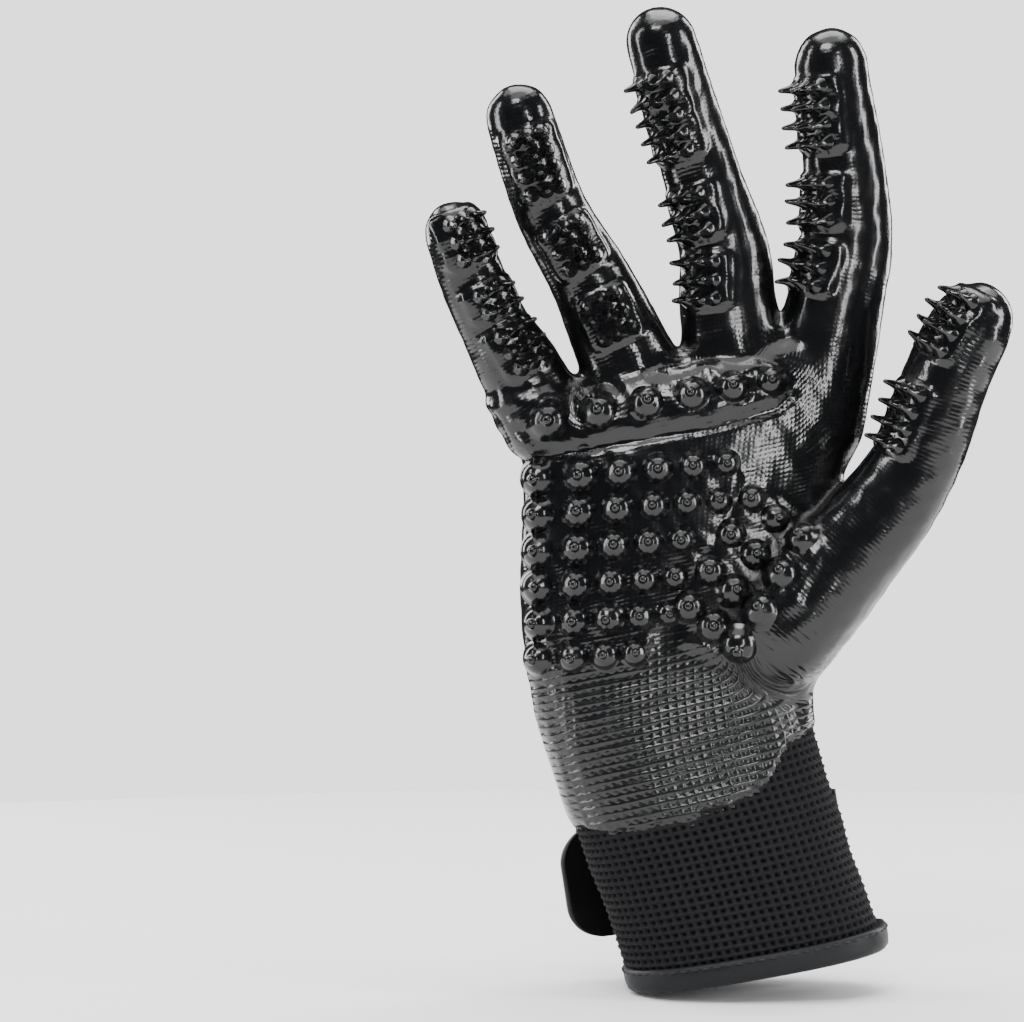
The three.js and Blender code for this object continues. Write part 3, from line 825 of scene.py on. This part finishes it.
# The digits' skin, one piece for each joint. A segment that is rubber all round has no knit of its own.
for number, name in enumerate(names, start=1):
    digit = digits[name]
    for joint, segment in enumerate(digit.segments):
        here = face_region == 10 * number + joint
        node = f"{name}_{segment}"
        knit = knit_piece(f"{node}_fine_knit", here) if np.any(here & (face_coat < KNIT_REACH)) else None
        coat = coat_piece(f"{node}_dipped_coating", here)
        bend(coat, digit, joint)
        stands_for(coat, f"{node}_coating", "dipped_rubber")
        if knit is None:
            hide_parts(f"{node}_knit")
            continue
        bend(knit, digit, joint)
        stands_for(knit, f"{node}_knit", "black_knit")

# ---- Spikes ----


def digit_spikes(digit):
    """Every spike of a digit, listed with its foot."""
    found = []
    for pad in pad_rows(digit):
        for row in range(pad["rows"]):
            height = pad["low"] + (row + 0.5) * (pad["high"] - pad["low"]) / pad["rows"]
            centre = pad["start"] + pad["along"] * height
            for column in range(SPIKE["columns"]):
                offset = (column - 1) * SPIKE["across"] * (1 + 0.03 * rng.normal())
                ends = digit.wide[pad["joint"] + 1:pad["joint"] + 3]
                wide = np.interp(height, (0, pad["high"]), ends)
                ray = turned(pad["outward"], pad["along"], math.degrees(offset / (wide + 2)))
                hit = seat(centre + ray * (wide + 4.5), -ray)
                if hit is None:
                    continue
                foot, _ = hit
                direction = unit(ray * 0.5 + pad["outward"] * 0.5 + rng.normal(size=3) * 0.035)
                lean = rng.normal(size=3) * 0.05
                found.append((foot, lathe(SPIKE, foot, direction, lean=lean)))
    return found


for number, name in enumerate(names, start=1):
    digit = digits[name]
    spikes = digit_spikes(digit)
    feet = np.array([foot for foot, _ in spikes])
    regions = region_of(feet, np.full(len(feet), number))
    for joint, segment in enumerate(digit.segments):
        low = 10 * number + joint
        chosen = [shape for (_, shape), region in zip(spikes, regions)
                  if region == low or (joint == 0 and region == 0)]
        made = piece(f"{name}_{segment}_spikes", *merged(chosen), SMOOTH_RUBBER)
        bend(made, digit, joint)
        stands_for(made, f"{name}_{segment}_spike_pad", "dipped_rubber")

# ---- Nubs on the palm ----


# Each group of nubs yields its nubs' x and z on the palm and their size.
def knuckle_nubs():
    for i in range(6):
        x = -55 + 13.2 * i - 0.42 * i * (i - 1)
        yield x, 141 + 0.18 * (x + 56), 1.14 - 0.06 * i


def palm_nubs():
    for row, count in enumerate([6, 6, 5, 5, 5, 4]):
        x = -57.5
        for i in range(count):
            yield x, 126 - 9.4 * row + 0.08 * (x + 60), 1.08 - 0.07 * i - 0.02 * row
            x += 10.8 - 0.4 * row - 0.55 * i


def thumb_ball_nubs():
    for row in range(4):
        for column in range(3):
            x = -2.6 - 5.4 * row + 6.4 * column
            yield x, 121 - 9.3 * row - 5 * column, 0.74 + 0.06 * row + 0.1 * column


for name, spread in (("knuckle", knuckle_nubs), ("palm", palm_nubs), ("thumb_ball", thumb_ball_nubs)):
    shapes = []
    for x, z, size in spread():
        foot, normal = seat((x, -90, z), (0, 1, 0))
        direction = unit(normal + np.array([0, -0.4, 0]) + rng.normal(size=3) * 0.03)
        shapes.append(lathe(NUB, foot, direction, size * NUB["size"]))
    made = piece(f"{name}_nubs", *merged(shapes), SMOOTH_RUBBER)
    stands_for(made, f"{name}_nub_pad", "dipped_rubber", "hand")

# ---- Cuff ----


def hand_point(s, angle, grow=0.0):
    """A point on the hand's oval at a height and angle: 0 at the thumb side, 90 at the palm."""
    x, wide, deep, tilt = oval_at(s)
    c, d = np.cos(angle), np.sin(angle)
    power = 2 / HAND_POWER
    across = np.sign(c) * np.abs(c) ** power * (wide + grow)
    front = np.sign(d) * np.abs(d) ** power * (deep + grow)
    return np.stack([x + across * np.cos(tilt), -front + 0 * across, s + across * np.sin(tilt)], -1)


def even_angles(count, s=20.0, start=0.0, end=2 * math.pi):
    """Angles that step evenly round the oval by length."""
    fine = np.linspace(start, end, 3000)
    steps = np.linalg.norm(np.diff(hand_point(np.full(3000, s), fine), axis=0), axis=1)
    length = np.append(0, np.cumsum(steps))
    closed = end - start > 6.2
    return np.interp(np.linspace(0, length[-1], count + 1)[:-1 if closed else None], length, fine)


# The slit in the back of the cuff: x and z.
SLIT = [(20.5, -12), (29, -12), (17, 34), (13, 46), (10.5, 46)]


def waffle_cuff():
    """The cuff: a grid of raised threads round square hollows, which fades under the coating."""
    fine = WAFFLE["fine"]
    angles = even_angles(WAFFLE["columns"] * fine)
    rows = int(WAFFLE["top"] / WAFFLE["pitch"]) * fine
    s, a = np.meshgrid(np.linspace(1.0, WAFFLE["top"], rows + 1), angles, indexing="ij")
    column = np.tile(np.arange(len(angles)) / fine, (rows + 1, 1))
    row = np.tile(np.arange(rows + 1)[:, None] / fine, (1, len(angles)))
    upright = 0.72 * np.abs(np.cos(math.pi * column)) ** 1.6
    level = np.abs(np.cos(math.pi * row)) ** 2.6
    ribs = np.maximum(upright, level)
    base = hand_point(s, a)
    flat = base.reshape(-1, 3)
    wobble = (0.35 * ripple(flat, 22, 21) + 0.12 * ripple(flat, 4, 22)).reshape(s.shape)
    sunk = 1.6 * step(above_waffle(base), -0.8, 1.2)
    height = 0.25 - WAFFLE["depth"] * (1 - ribs) + wobble - sunk
    outward = unit(hand_point(s, a, 1.0) - base)
    spots = (base + outward * height[..., None]).reshape(-1, 3)
    weave = np.column_stack([column.ravel(), row.ravel()])
    faces = sheet_faces(rows + 1, len(angles), True)
    middle = spots[faces].mean(axis=1)
    in_slit = (polygon_depth(middle[:, 0], middle[:, 2], SLIT) > 0) & (middle[:, 1] > 2)
    coated = (middle[:, 1] < 3) & (above_coat_end(middle[:, 0], middle[:, 2]) > 3)
    under_knit = above_waffle(middle) > 3
    faces = faces[~(in_slit | coated | under_knit)]
    used, compact = np.unique(faces, return_inverse=True)
    inward = compact.reshape(faces.shape)[:, ::-1]
    made = piece("waffle_cuff", spots[used], inward, WAFFLE_YARN, weave=weave[used])
    thicken(made, 1.1)
    return made


def thicken(made, thickness):
    """Gives a sheet its thickness, inward from its outer face, applied to the mesh."""
    modifier = made.modifiers.new("thickness", "SOLIDIFY")
    modifier.thickness = thickness * MM
    modifier.offset = -1
    graph = bpy.context.evaluated_depsgraph_get()
    mesh = bpy.data.meshes.new_from_object(made.evaluated_get(graph))
    old = made.data
    made.modifiers.clear()
    made.data = mesh
    bpy.data.meshes.remove(old)


stands_for(waffle_cuff(), "knit_cuff", "cuff_waffle_knit", "hand")

# ---- Bindings ----


def hem_binding():
    """The hem's folded tape, from one edge of the slit to the other: smooth on the palm, puckered behind."""
    start, end = np.radians([-41.0, -58.0])
    angles = even_angles(520, 0.0, start, end + 2 * math.pi)
    s = np.zeros(len(angles))
    line = hand_point(s, angles)
    outward = unit(hand_point(s, angles, 1.0) - line)
    tilt = math.radians(HAND[0, 4])
    up = np.tile([-math.sin(tilt), 0, math.cos(tilt)], (len(angles), 1))
    back = step(line[:, 1], -4, 6)
    pucker = back * (0.45 * ripple(line, 5, 31) + 0.3 * ripple(line, 2.6, 32)) + 0.12 * ripple(line, 12, 33)
    section = [(-1.9, 3.6), (-1.9, 0), (-1.6, -1.5), (-0.6, -2.15), (0.6, -2.1), (1.35, -1.3), (1.6, 0.2),
               (1.65, 1.8), (1.5, 3.2), (1.05, 3.9), (0.3, 4.1)]
    rings = []
    for o, u in section:
        swell = pucker * (1 if o > 0 else 0.3)
        rise = 0.35 * swell * (1 if u > 2 else 0.4)
        rings.append(line + outward * (o + swell * 0.75)[:, None] + up * (u + rise)[:, None])
    return tape("hem_binding_tape", rings, inside_out=True), (line, outward, up)


def stitch_shapes(path, outward, length=2.0, gap=0.9, radius=0.28):
    """A row of stitches: short rounded threads that dip at both ends."""
    rings, sides = 7, 6
    gaps = np.append(0, np.cumsum(np.linalg.norm(np.diff(path, axis=0), axis=1)))
    rise = np.sin(np.linspace(0, math.pi, rings))
    faces = [tuple(face) for face in sheet_faces(rings, sides, True)]
    shapes = []
    at = gap
    while at + length < gaps[-1]:
        steps = np.linspace(at, at + length, rings)
        middle = np.stack([np.interp(steps, gaps, path[:, k]) for k in range(3)], -1)
        normal = unit(np.stack([np.interp(steps, gaps, outward[:, k]) for k in range(3)], -1))
        along = unit(middle[-1] - middle[0])
        side = unit(np.cross(along, normal))
        spots = []
        for k in range(rings):
            r = radius * (0.35 + 0.65 * rise[k])
            centre = middle[k] + normal[k] * (0.32 * rise[k] - 0.1)
            for turn in range(sides):
                a = 2 * math.pi * turn / sides
                spots.append(centre + (side[k] * math.cos(a) + normal[k] * math.sin(a)) * r)
        shapes.append((np.array(spots), faces))
        at += length + gap
    return shapes


hem, (hem_line, hem_out, hem_up) = hem_binding()
stands_for(hem, "hem_binding", "binding", "hand")
seam_threads = stitch_shapes(hem_line + hem_out * 1.55 + hem_up * 3.05, hem_out)
stands_for(piece("hem_seam_stitches", *merged(seam_threads), THREAD), "hem_stitching", "thread", "hand")


def back_of_cuff(x, z, grow):
    """The back of the cuff's oval, grown, over a point (x, z)."""
    points = np.stack([x, np.zeros_like(x), z], -1)
    s, across, _, wide, deep, _ = hand_frame(points.reshape(-1, 3))
    inside = np.clip(1 - np.abs(across / (wide + grow)) ** HAND_POWER, 0.0, 1)
    return ((deep + grow) * inside ** (1 / HAND_POWER)).reshape(x.shape)


def slit_binding():
    """Puckered tape round the slit's edge."""
    path = smooth_rows([(20.3, 2), (17.5, 14), (14.2, 27), (11.2, 40), (11.6, 45.5), (13.6, 44.5), (18.4, 32),
                        (23.2, 18), (28.3, 4)], 14)
    x, z = path[:, 0], path[:, 1]
    line = np.stack([x, back_of_cuff(x, z, 0.4), z], -1)
    outward = unit(np.stack([x, back_of_cuff(x, z, 1.4), z], -1) - line)
    side = unit(np.cross(unit(np.gradient(line, axis=0)), outward))
    swell = 0.3 * ripple(line, 4.5, 41) + 0.2 * ripple(line, 2.4, 42)
    section = [(-2.4, -0.5), (-2.3, 0.5), (-1.2, 1.1), (0, 1.25), (1.2, 1.1), (2.3, 0.5), (2.4, -0.5),
               (0, -1.6)]
    rings = [line + side * (u * (1 + 0.12 * swell))[:, None] + outward * (o + max(o, 0) * swell)[:, None]
             for u, o in section]
    return tape("slit_binding_tape", rings)


stands_for(slit_binding(), "slit_binding", "binding", "hand")

# ---- Strap ----


def strap_point(u, v, height):
    """Points of the strap and its outward directions: u along it, v up its width, height off its inside."""
    t = STRAP["tilt"]
    x = u * math.cos(t) - v * math.sin(t)
    z = STRAP["centre"] + u * math.sin(t) + v * math.cos(t)
    points = np.stack([x, np.zeros_like(x), z], -1).reshape(-1, 3)
    _, across, _, wide, deep, _ = hand_frame(points)
    wide = wide + STRAP["lift"] + STRAP["standoff"]
    deep = deep + STRAP["lift"]
    inside = np.clip(1 - np.abs(across / wide) ** HAND_POWER, 1e-3, 1)
    y = deep * inside ** (1 / HAND_POWER)
    slope = deep * inside ** (1 / HAND_POWER - 1) * (np.abs(across) / wide) ** (HAND_POWER - 1)
    slope = slope / wide * np.sign(across)
    normal = unit(np.stack([slope, np.ones_like(slope), np.zeros_like(slope)], -1))
    spots = points + np.stack([0 * y, y, 0 * y], -1) + normal * np.asarray(height).reshape(-1, 1)
    return spots.reshape(*np.shape(x), 3), normal.reshape(*np.shape(x), 3)


def rounded_plate(name, start, end, half, radius, profile, low, material, columns=120, rows=56):
    """A plate on the strap, rounded at its free end; profile turns edge distance into height."""
    across = np.linspace(-1, 1, rows)
    across = np.sin(across * math.pi / 2) * 0.35 + across * 0.65
    v, t = np.meshgrid(across * half, np.linspace(0, 1, columns), indexing="ij")
    over = np.maximum(np.abs(v) - (half - radius), 0)
    left = start + radius - np.sqrt(np.maximum(radius ** 2 - over ** 2, 0))
    u = left + (end - left) * t ** 1.15
    to_corner = radius - np.hypot(np.maximum(start + radius - u, 0), over)
    to_start = np.where(over > 0, to_corner, u - start)
    gap = np.minimum.reduce([half - np.abs(v), end - u, to_start])
    spots, _ = strap_point(u, v, profile(np.maximum(gap, 0), u))
    under, _ = strap_point(u, v, np.full_like(u, low))
    faces = sheet_faces(rows, columns, False)
    grid = np.arange(rows * columns).reshape(rows, columns)
    rim = [*grid[0], *grid[1:, -1], *grid[-1, -2::-1], *grid[-2:0:-1, 0]]
    walls = [(a, b, b + grid.size, a + grid.size) for a, b in zip(rim, rim[1:] + rim[:1])]
    sheet = np.concatenate([spots.reshape(-1, 3), under.reshape(-1, 3)])
    made = [tuple(face)[::-1] for face in faces] + [tuple(face + grid.size) for face in faces] + walls
    return piece(name, sheet, made, material)


def strap_profile(gap, u):
    """A round-edged plate with a raised border and a groove, thinned at the hinge so that it can peel."""
    edge = 2.1 - 0.8 * (1 - step(gap, 0, 0.9)) ** 2
    border = 0.55 * (1 - step(gap, 2.6, 3.2))
    groove = 0.55 * (step(u, 12.0, 12.6) - step(u, 13.4, 14.0))
    thinned = 0.25 + 0.75 * step(STRAP["end"] - u, 0, 2.8)
    return (edge + border * step(gap, 0, 0.8)) * thinned - groove


def sewn_end_profile(gap, u):
    """A flat round-edged tab that slopes down to the hinge."""
    slope = 0.3 + 0.7 * step(u - STRAP["end"], 0.8, 3.0)
    return (1.9 - 0.6 * (1 - step(gap, 0, 0.8)) ** 2) * slope


START, END, HALF = STRAP["start"], STRAP["end"], STRAP["half"]
strap = rounded_plate("strap_plate", START, END, HALF, STRAP["radius"], strap_profile, 0.0, STRAP_RUBBER)
badge = rounded_plate("strap_panel", START + 3.3, END - 7.6, HALF - 3.3, 7.0,
                      lambda gap, u: 2.45 - 0.3 * (1 - step(gap, 0, 0.6)), 1.9, STRAP_RUBBER)
anchor = rounded_plate("strap_sewn_end", END + 0.8, END + 6, HALF - 1.2, 0.8, sewn_end_profile, 0.1,
                       STRAP_RUBBER, 24, 48)
hook = rounded_plate("strap_hook_tape", -40, -8, 11, 1.0, lambda gap, u: -0.25 + 0 * gap, -1.1, TAPE, 60, 30)
loop = rounded_plate("strap_loop_tape", -33, -4, 12, 1.0, lambda gap, u: -1.3 + 0 * gap, -2.3, TAPE, 60, 30)


def strap_outline(inset, end):
    """The line a given distance inside the strap's edge."""
    start, half, radius = START + inset, HALF - inset, STRAP["radius"] - inset
    corners = []
    for angle in np.linspace(90, 180, 12):
        a = math.radians(angle)
        corners.append((start + radius + radius * math.cos(a), half - radius + radius * math.sin(a)))
    lower = [(u, -v) for u, v in reversed(corners)]
    path = [(end, half)] + corners + lower + [(end, -half), (end, half)]
    dense = []
    for (ua, va), (ub, vb) in zip(path, path[1:]):
        for t in np.linspace(0, 1, max(2, int(math.hypot(ub - ua, vb - va) / 0.7)), endpoint=False):
            dense.append((ua + (ub - ua) * t, va + (vb - va) * t))
    return np.array(dense)


def strap_stitches():
    """The stitches round the strap's panel, and those of the seam across its hinge end."""
    size = dict(length=1.7, gap=0.8, radius=0.24)
    path = strap_outline(4.6, END - 9.0)
    line, out = strap_point(path[:, 0], path[:, 1], np.full(len(path), 2.42))
    shapes = stitch_shapes(line, out, **size)
    across = np.linspace(-13.2, 13.2, 60)
    line, out = strap_point(np.full(60, END - 3.2), across, np.full(60, 2.1))
    return piece("strap_seam_stitches", *merged(shapes + stitch_shapes(line, out, **size)), THREAD)


strap_threads = strap_stitches()


def emblem():
    """A paw print: a heel pad and four toes with rounded edges."""
    middle, around = -4.0, 36
    # Each pad's place, its two radii and its turn in degrees, the heel first.
    pads = [(0, -2.7, 4.5, 3.7, 0), (-6.3, 1.3, 1.9, 2.6, 30), (-2.4, 4.8, 2.05, 2.8, 9),
            (2.4, 4.8, 2.05, 2.8, -9), (6.3, 1.3, 1.9, 2.6, -30)]
    # The dome's rings: share of the radius and height off the strap.
    dome = [(1.0, 2.3), (1.0, 2.85), (0.97, 3.1), (0.9, 3.25), (0.6, 3.34), (0.3, 3.36), (0.02, 3.37)]
    share, height = (values[:, None] for values in np.array(dome).T)
    a = 2 * math.pi * np.arange(around) / around
    faces = [tuple(face)[::-1] for face in sheet_faces(len(dome), around, True)]
    faces.append(tuple(range((len(dome) - 1) * around, len(dome) * around))[::-1])
    shapes = []
    for number, (x, y, rx, ry, turn) in enumerate(pads):
        c, d = math.cos(math.radians(turn)), math.sin(math.radians(turn))
        px, py = rx * share * np.cos(a), ry * share * np.sin(a)
        if number == 0:
            py = py + 0.55 * share * np.cos(3 * a) * np.sin(a)
        spots, _ = strap_point((middle + x + px * c - py * d).ravel(), (y + px * d + py * c).ravel(),
                               (height + 0 * a).ravel())
        shapes.append((spots, faces))
    return piece("paw_emblem", *merged(shapes), GREEN)


paw = emblem()
for made, node, slot, body in (
        (strap, "strap_backing", "strap_rubber", "strap"),
        (badge, "strap_badge", "strap_rubber", "strap"),
        (hook, "strap_hook_tape", "fastener_tape", "strap"),
        (strap_threads, "strap_stitching", "thread", "strap"),
        (paw, "strap_emblem", "green_emblem", "strap"),
        (anchor, "strap_anchor", "strap_rubber", "hand"),
        (loop, "strap_loop_tape", "fastener_tape", "hand")):
    stands_for(made, node, slot, body)

# ---- Floor, light and camera ----
FRAME_CENTRE = Vector((-0.0644, 0, 0.1178))  # what the camera looks at
FRAME_WIDTH = 0.27  # how much of the object's plane the picture spans
LENS, SENSOR = 110, 36
FLOOR_LIGHT = 3.2
SKY_LIGHT = 2.3  # what the surround shows, near the lit floor's own brightness
FELT_LIGHT = 0.05  # what the surround gives as light
LIT_CENTRE = (-0.01, 0, 0.12)
# Each softbox: where it stands in metres, its size and its power.
SOFTBOXES = {
    "left": ((-0.8, -0.15, 0.3), (0.12, 0.9), 6),
    "right": ((0.8, -0.3, 0.25), (0.16, 0.9), 9),
    "front_top": ((-0.3, -0.75, 0.95), (0.45, 0.25), 8),
    "front": ((0.3, -0.95, 0.34), (0.1, 0.45), 4),
    "top": ((0, 0.15, 1.1), (0.8, 0.6), 9),
    "back_left": ((-0.7, 0.6, 0.5), (0.25, 0.9), 8),
    "back_right": ((0.7, 0.65, 0.5), (0.25, 0.9), 8),
}


def studio_floor():
    """A pale floor under the glove."""
    floor = CAD_BOX[0][2] / MM - 0.6
    rings, around = (0.001, 200, 400, 600), 64
    spots = [(r * math.cos(2 * math.pi * k / around), r * math.sin(2 * math.pi * k / around), floor)
             for r in rings for k in range(around)]
    paper, _ = shader("studio_paper", (0.8, 0.8, 0.8), 0.9)
    piece("studio_floor", np.array(spots), sheet_faces(len(rings), around, True), paper)


def softbox(name, at, size, power):
    """A rectangular light that faces the glove."""
    light = bpy.data.lights.new(f"{name}_softbox", "AREA")
    light.shape = "RECTANGLE"
    light.size, light.size_y = size
    light.energy = power
    made = placed(light.name, light)
    made.location = at
    made.rotation_euler = (Vector(LIT_CENTRE) - Vector(at)).to_track_quat("-Z", "Y").to_euler()


def overhead_light():
    """Broad even light from straight above, which keeps the floor pale as far as it goes."""
    lamp = bpy.data.lights.new("overhead_light", "SUN")
    lamp.energy, lamp.angle = FLOOR_LIGHT, math.radians(70)
    placed("overhead_light", lamp)


def studio_world():
    """A pale surround to look at, which lights the glove only faintly."""
    world = bpy.data.worlds.new("studio_world")
    world.use_nodes = True
    tree = world.node_tree
    seen = tree.nodes["Background"]
    seen.inputs["Color"].default_value = (0.9, 0.9, 0.9, 1)
    seen.inputs["Strength"].default_value = SKY_LIGHT
    felt = tree.nodes.new("ShaderNodeBackground")
    felt.inputs["Color"].default_value = (0.9, 0.95, 1, 1)
    felt.inputs["Strength"].default_value = FELT_LIGHT
    path = tree.nodes.new("ShaderNodeLightPath")
    choose = tree.nodes.new("ShaderNodeMixShader")
    tree.links.new(path.outputs["Is Camera Ray"], choose.inputs[0])
    tree.links.new(felt.outputs[0], choose.inputs[1])
    tree.links.new(seen.outputs[0], choose.inputs[2])
    tree.links.new(choose.outputs[0], tree.nodes["World Output"].inputs["Surface"])
    bpy.context.scene.world = world


def camera():
    """The picture's camera, level and straight in front."""
    lens = bpy.data.cameras.new("camera")
    lens.lens, lens.sensor_width = LENS, SENSOR
    eye = placed("camera", lens)
    eye.location = FRAME_CENTRE + Vector((0, -FRAME_WIDTH * LENS / SENSOR, 0))
    eye.rotation_euler = (math.pi / 2, 0, 0)
    bpy.context.scene.camera = eye


studio_floor()
for name, facts in SOFTBOXES.items():
    softbox(name, *facts)
overhead_light()
studio_world()
camera()
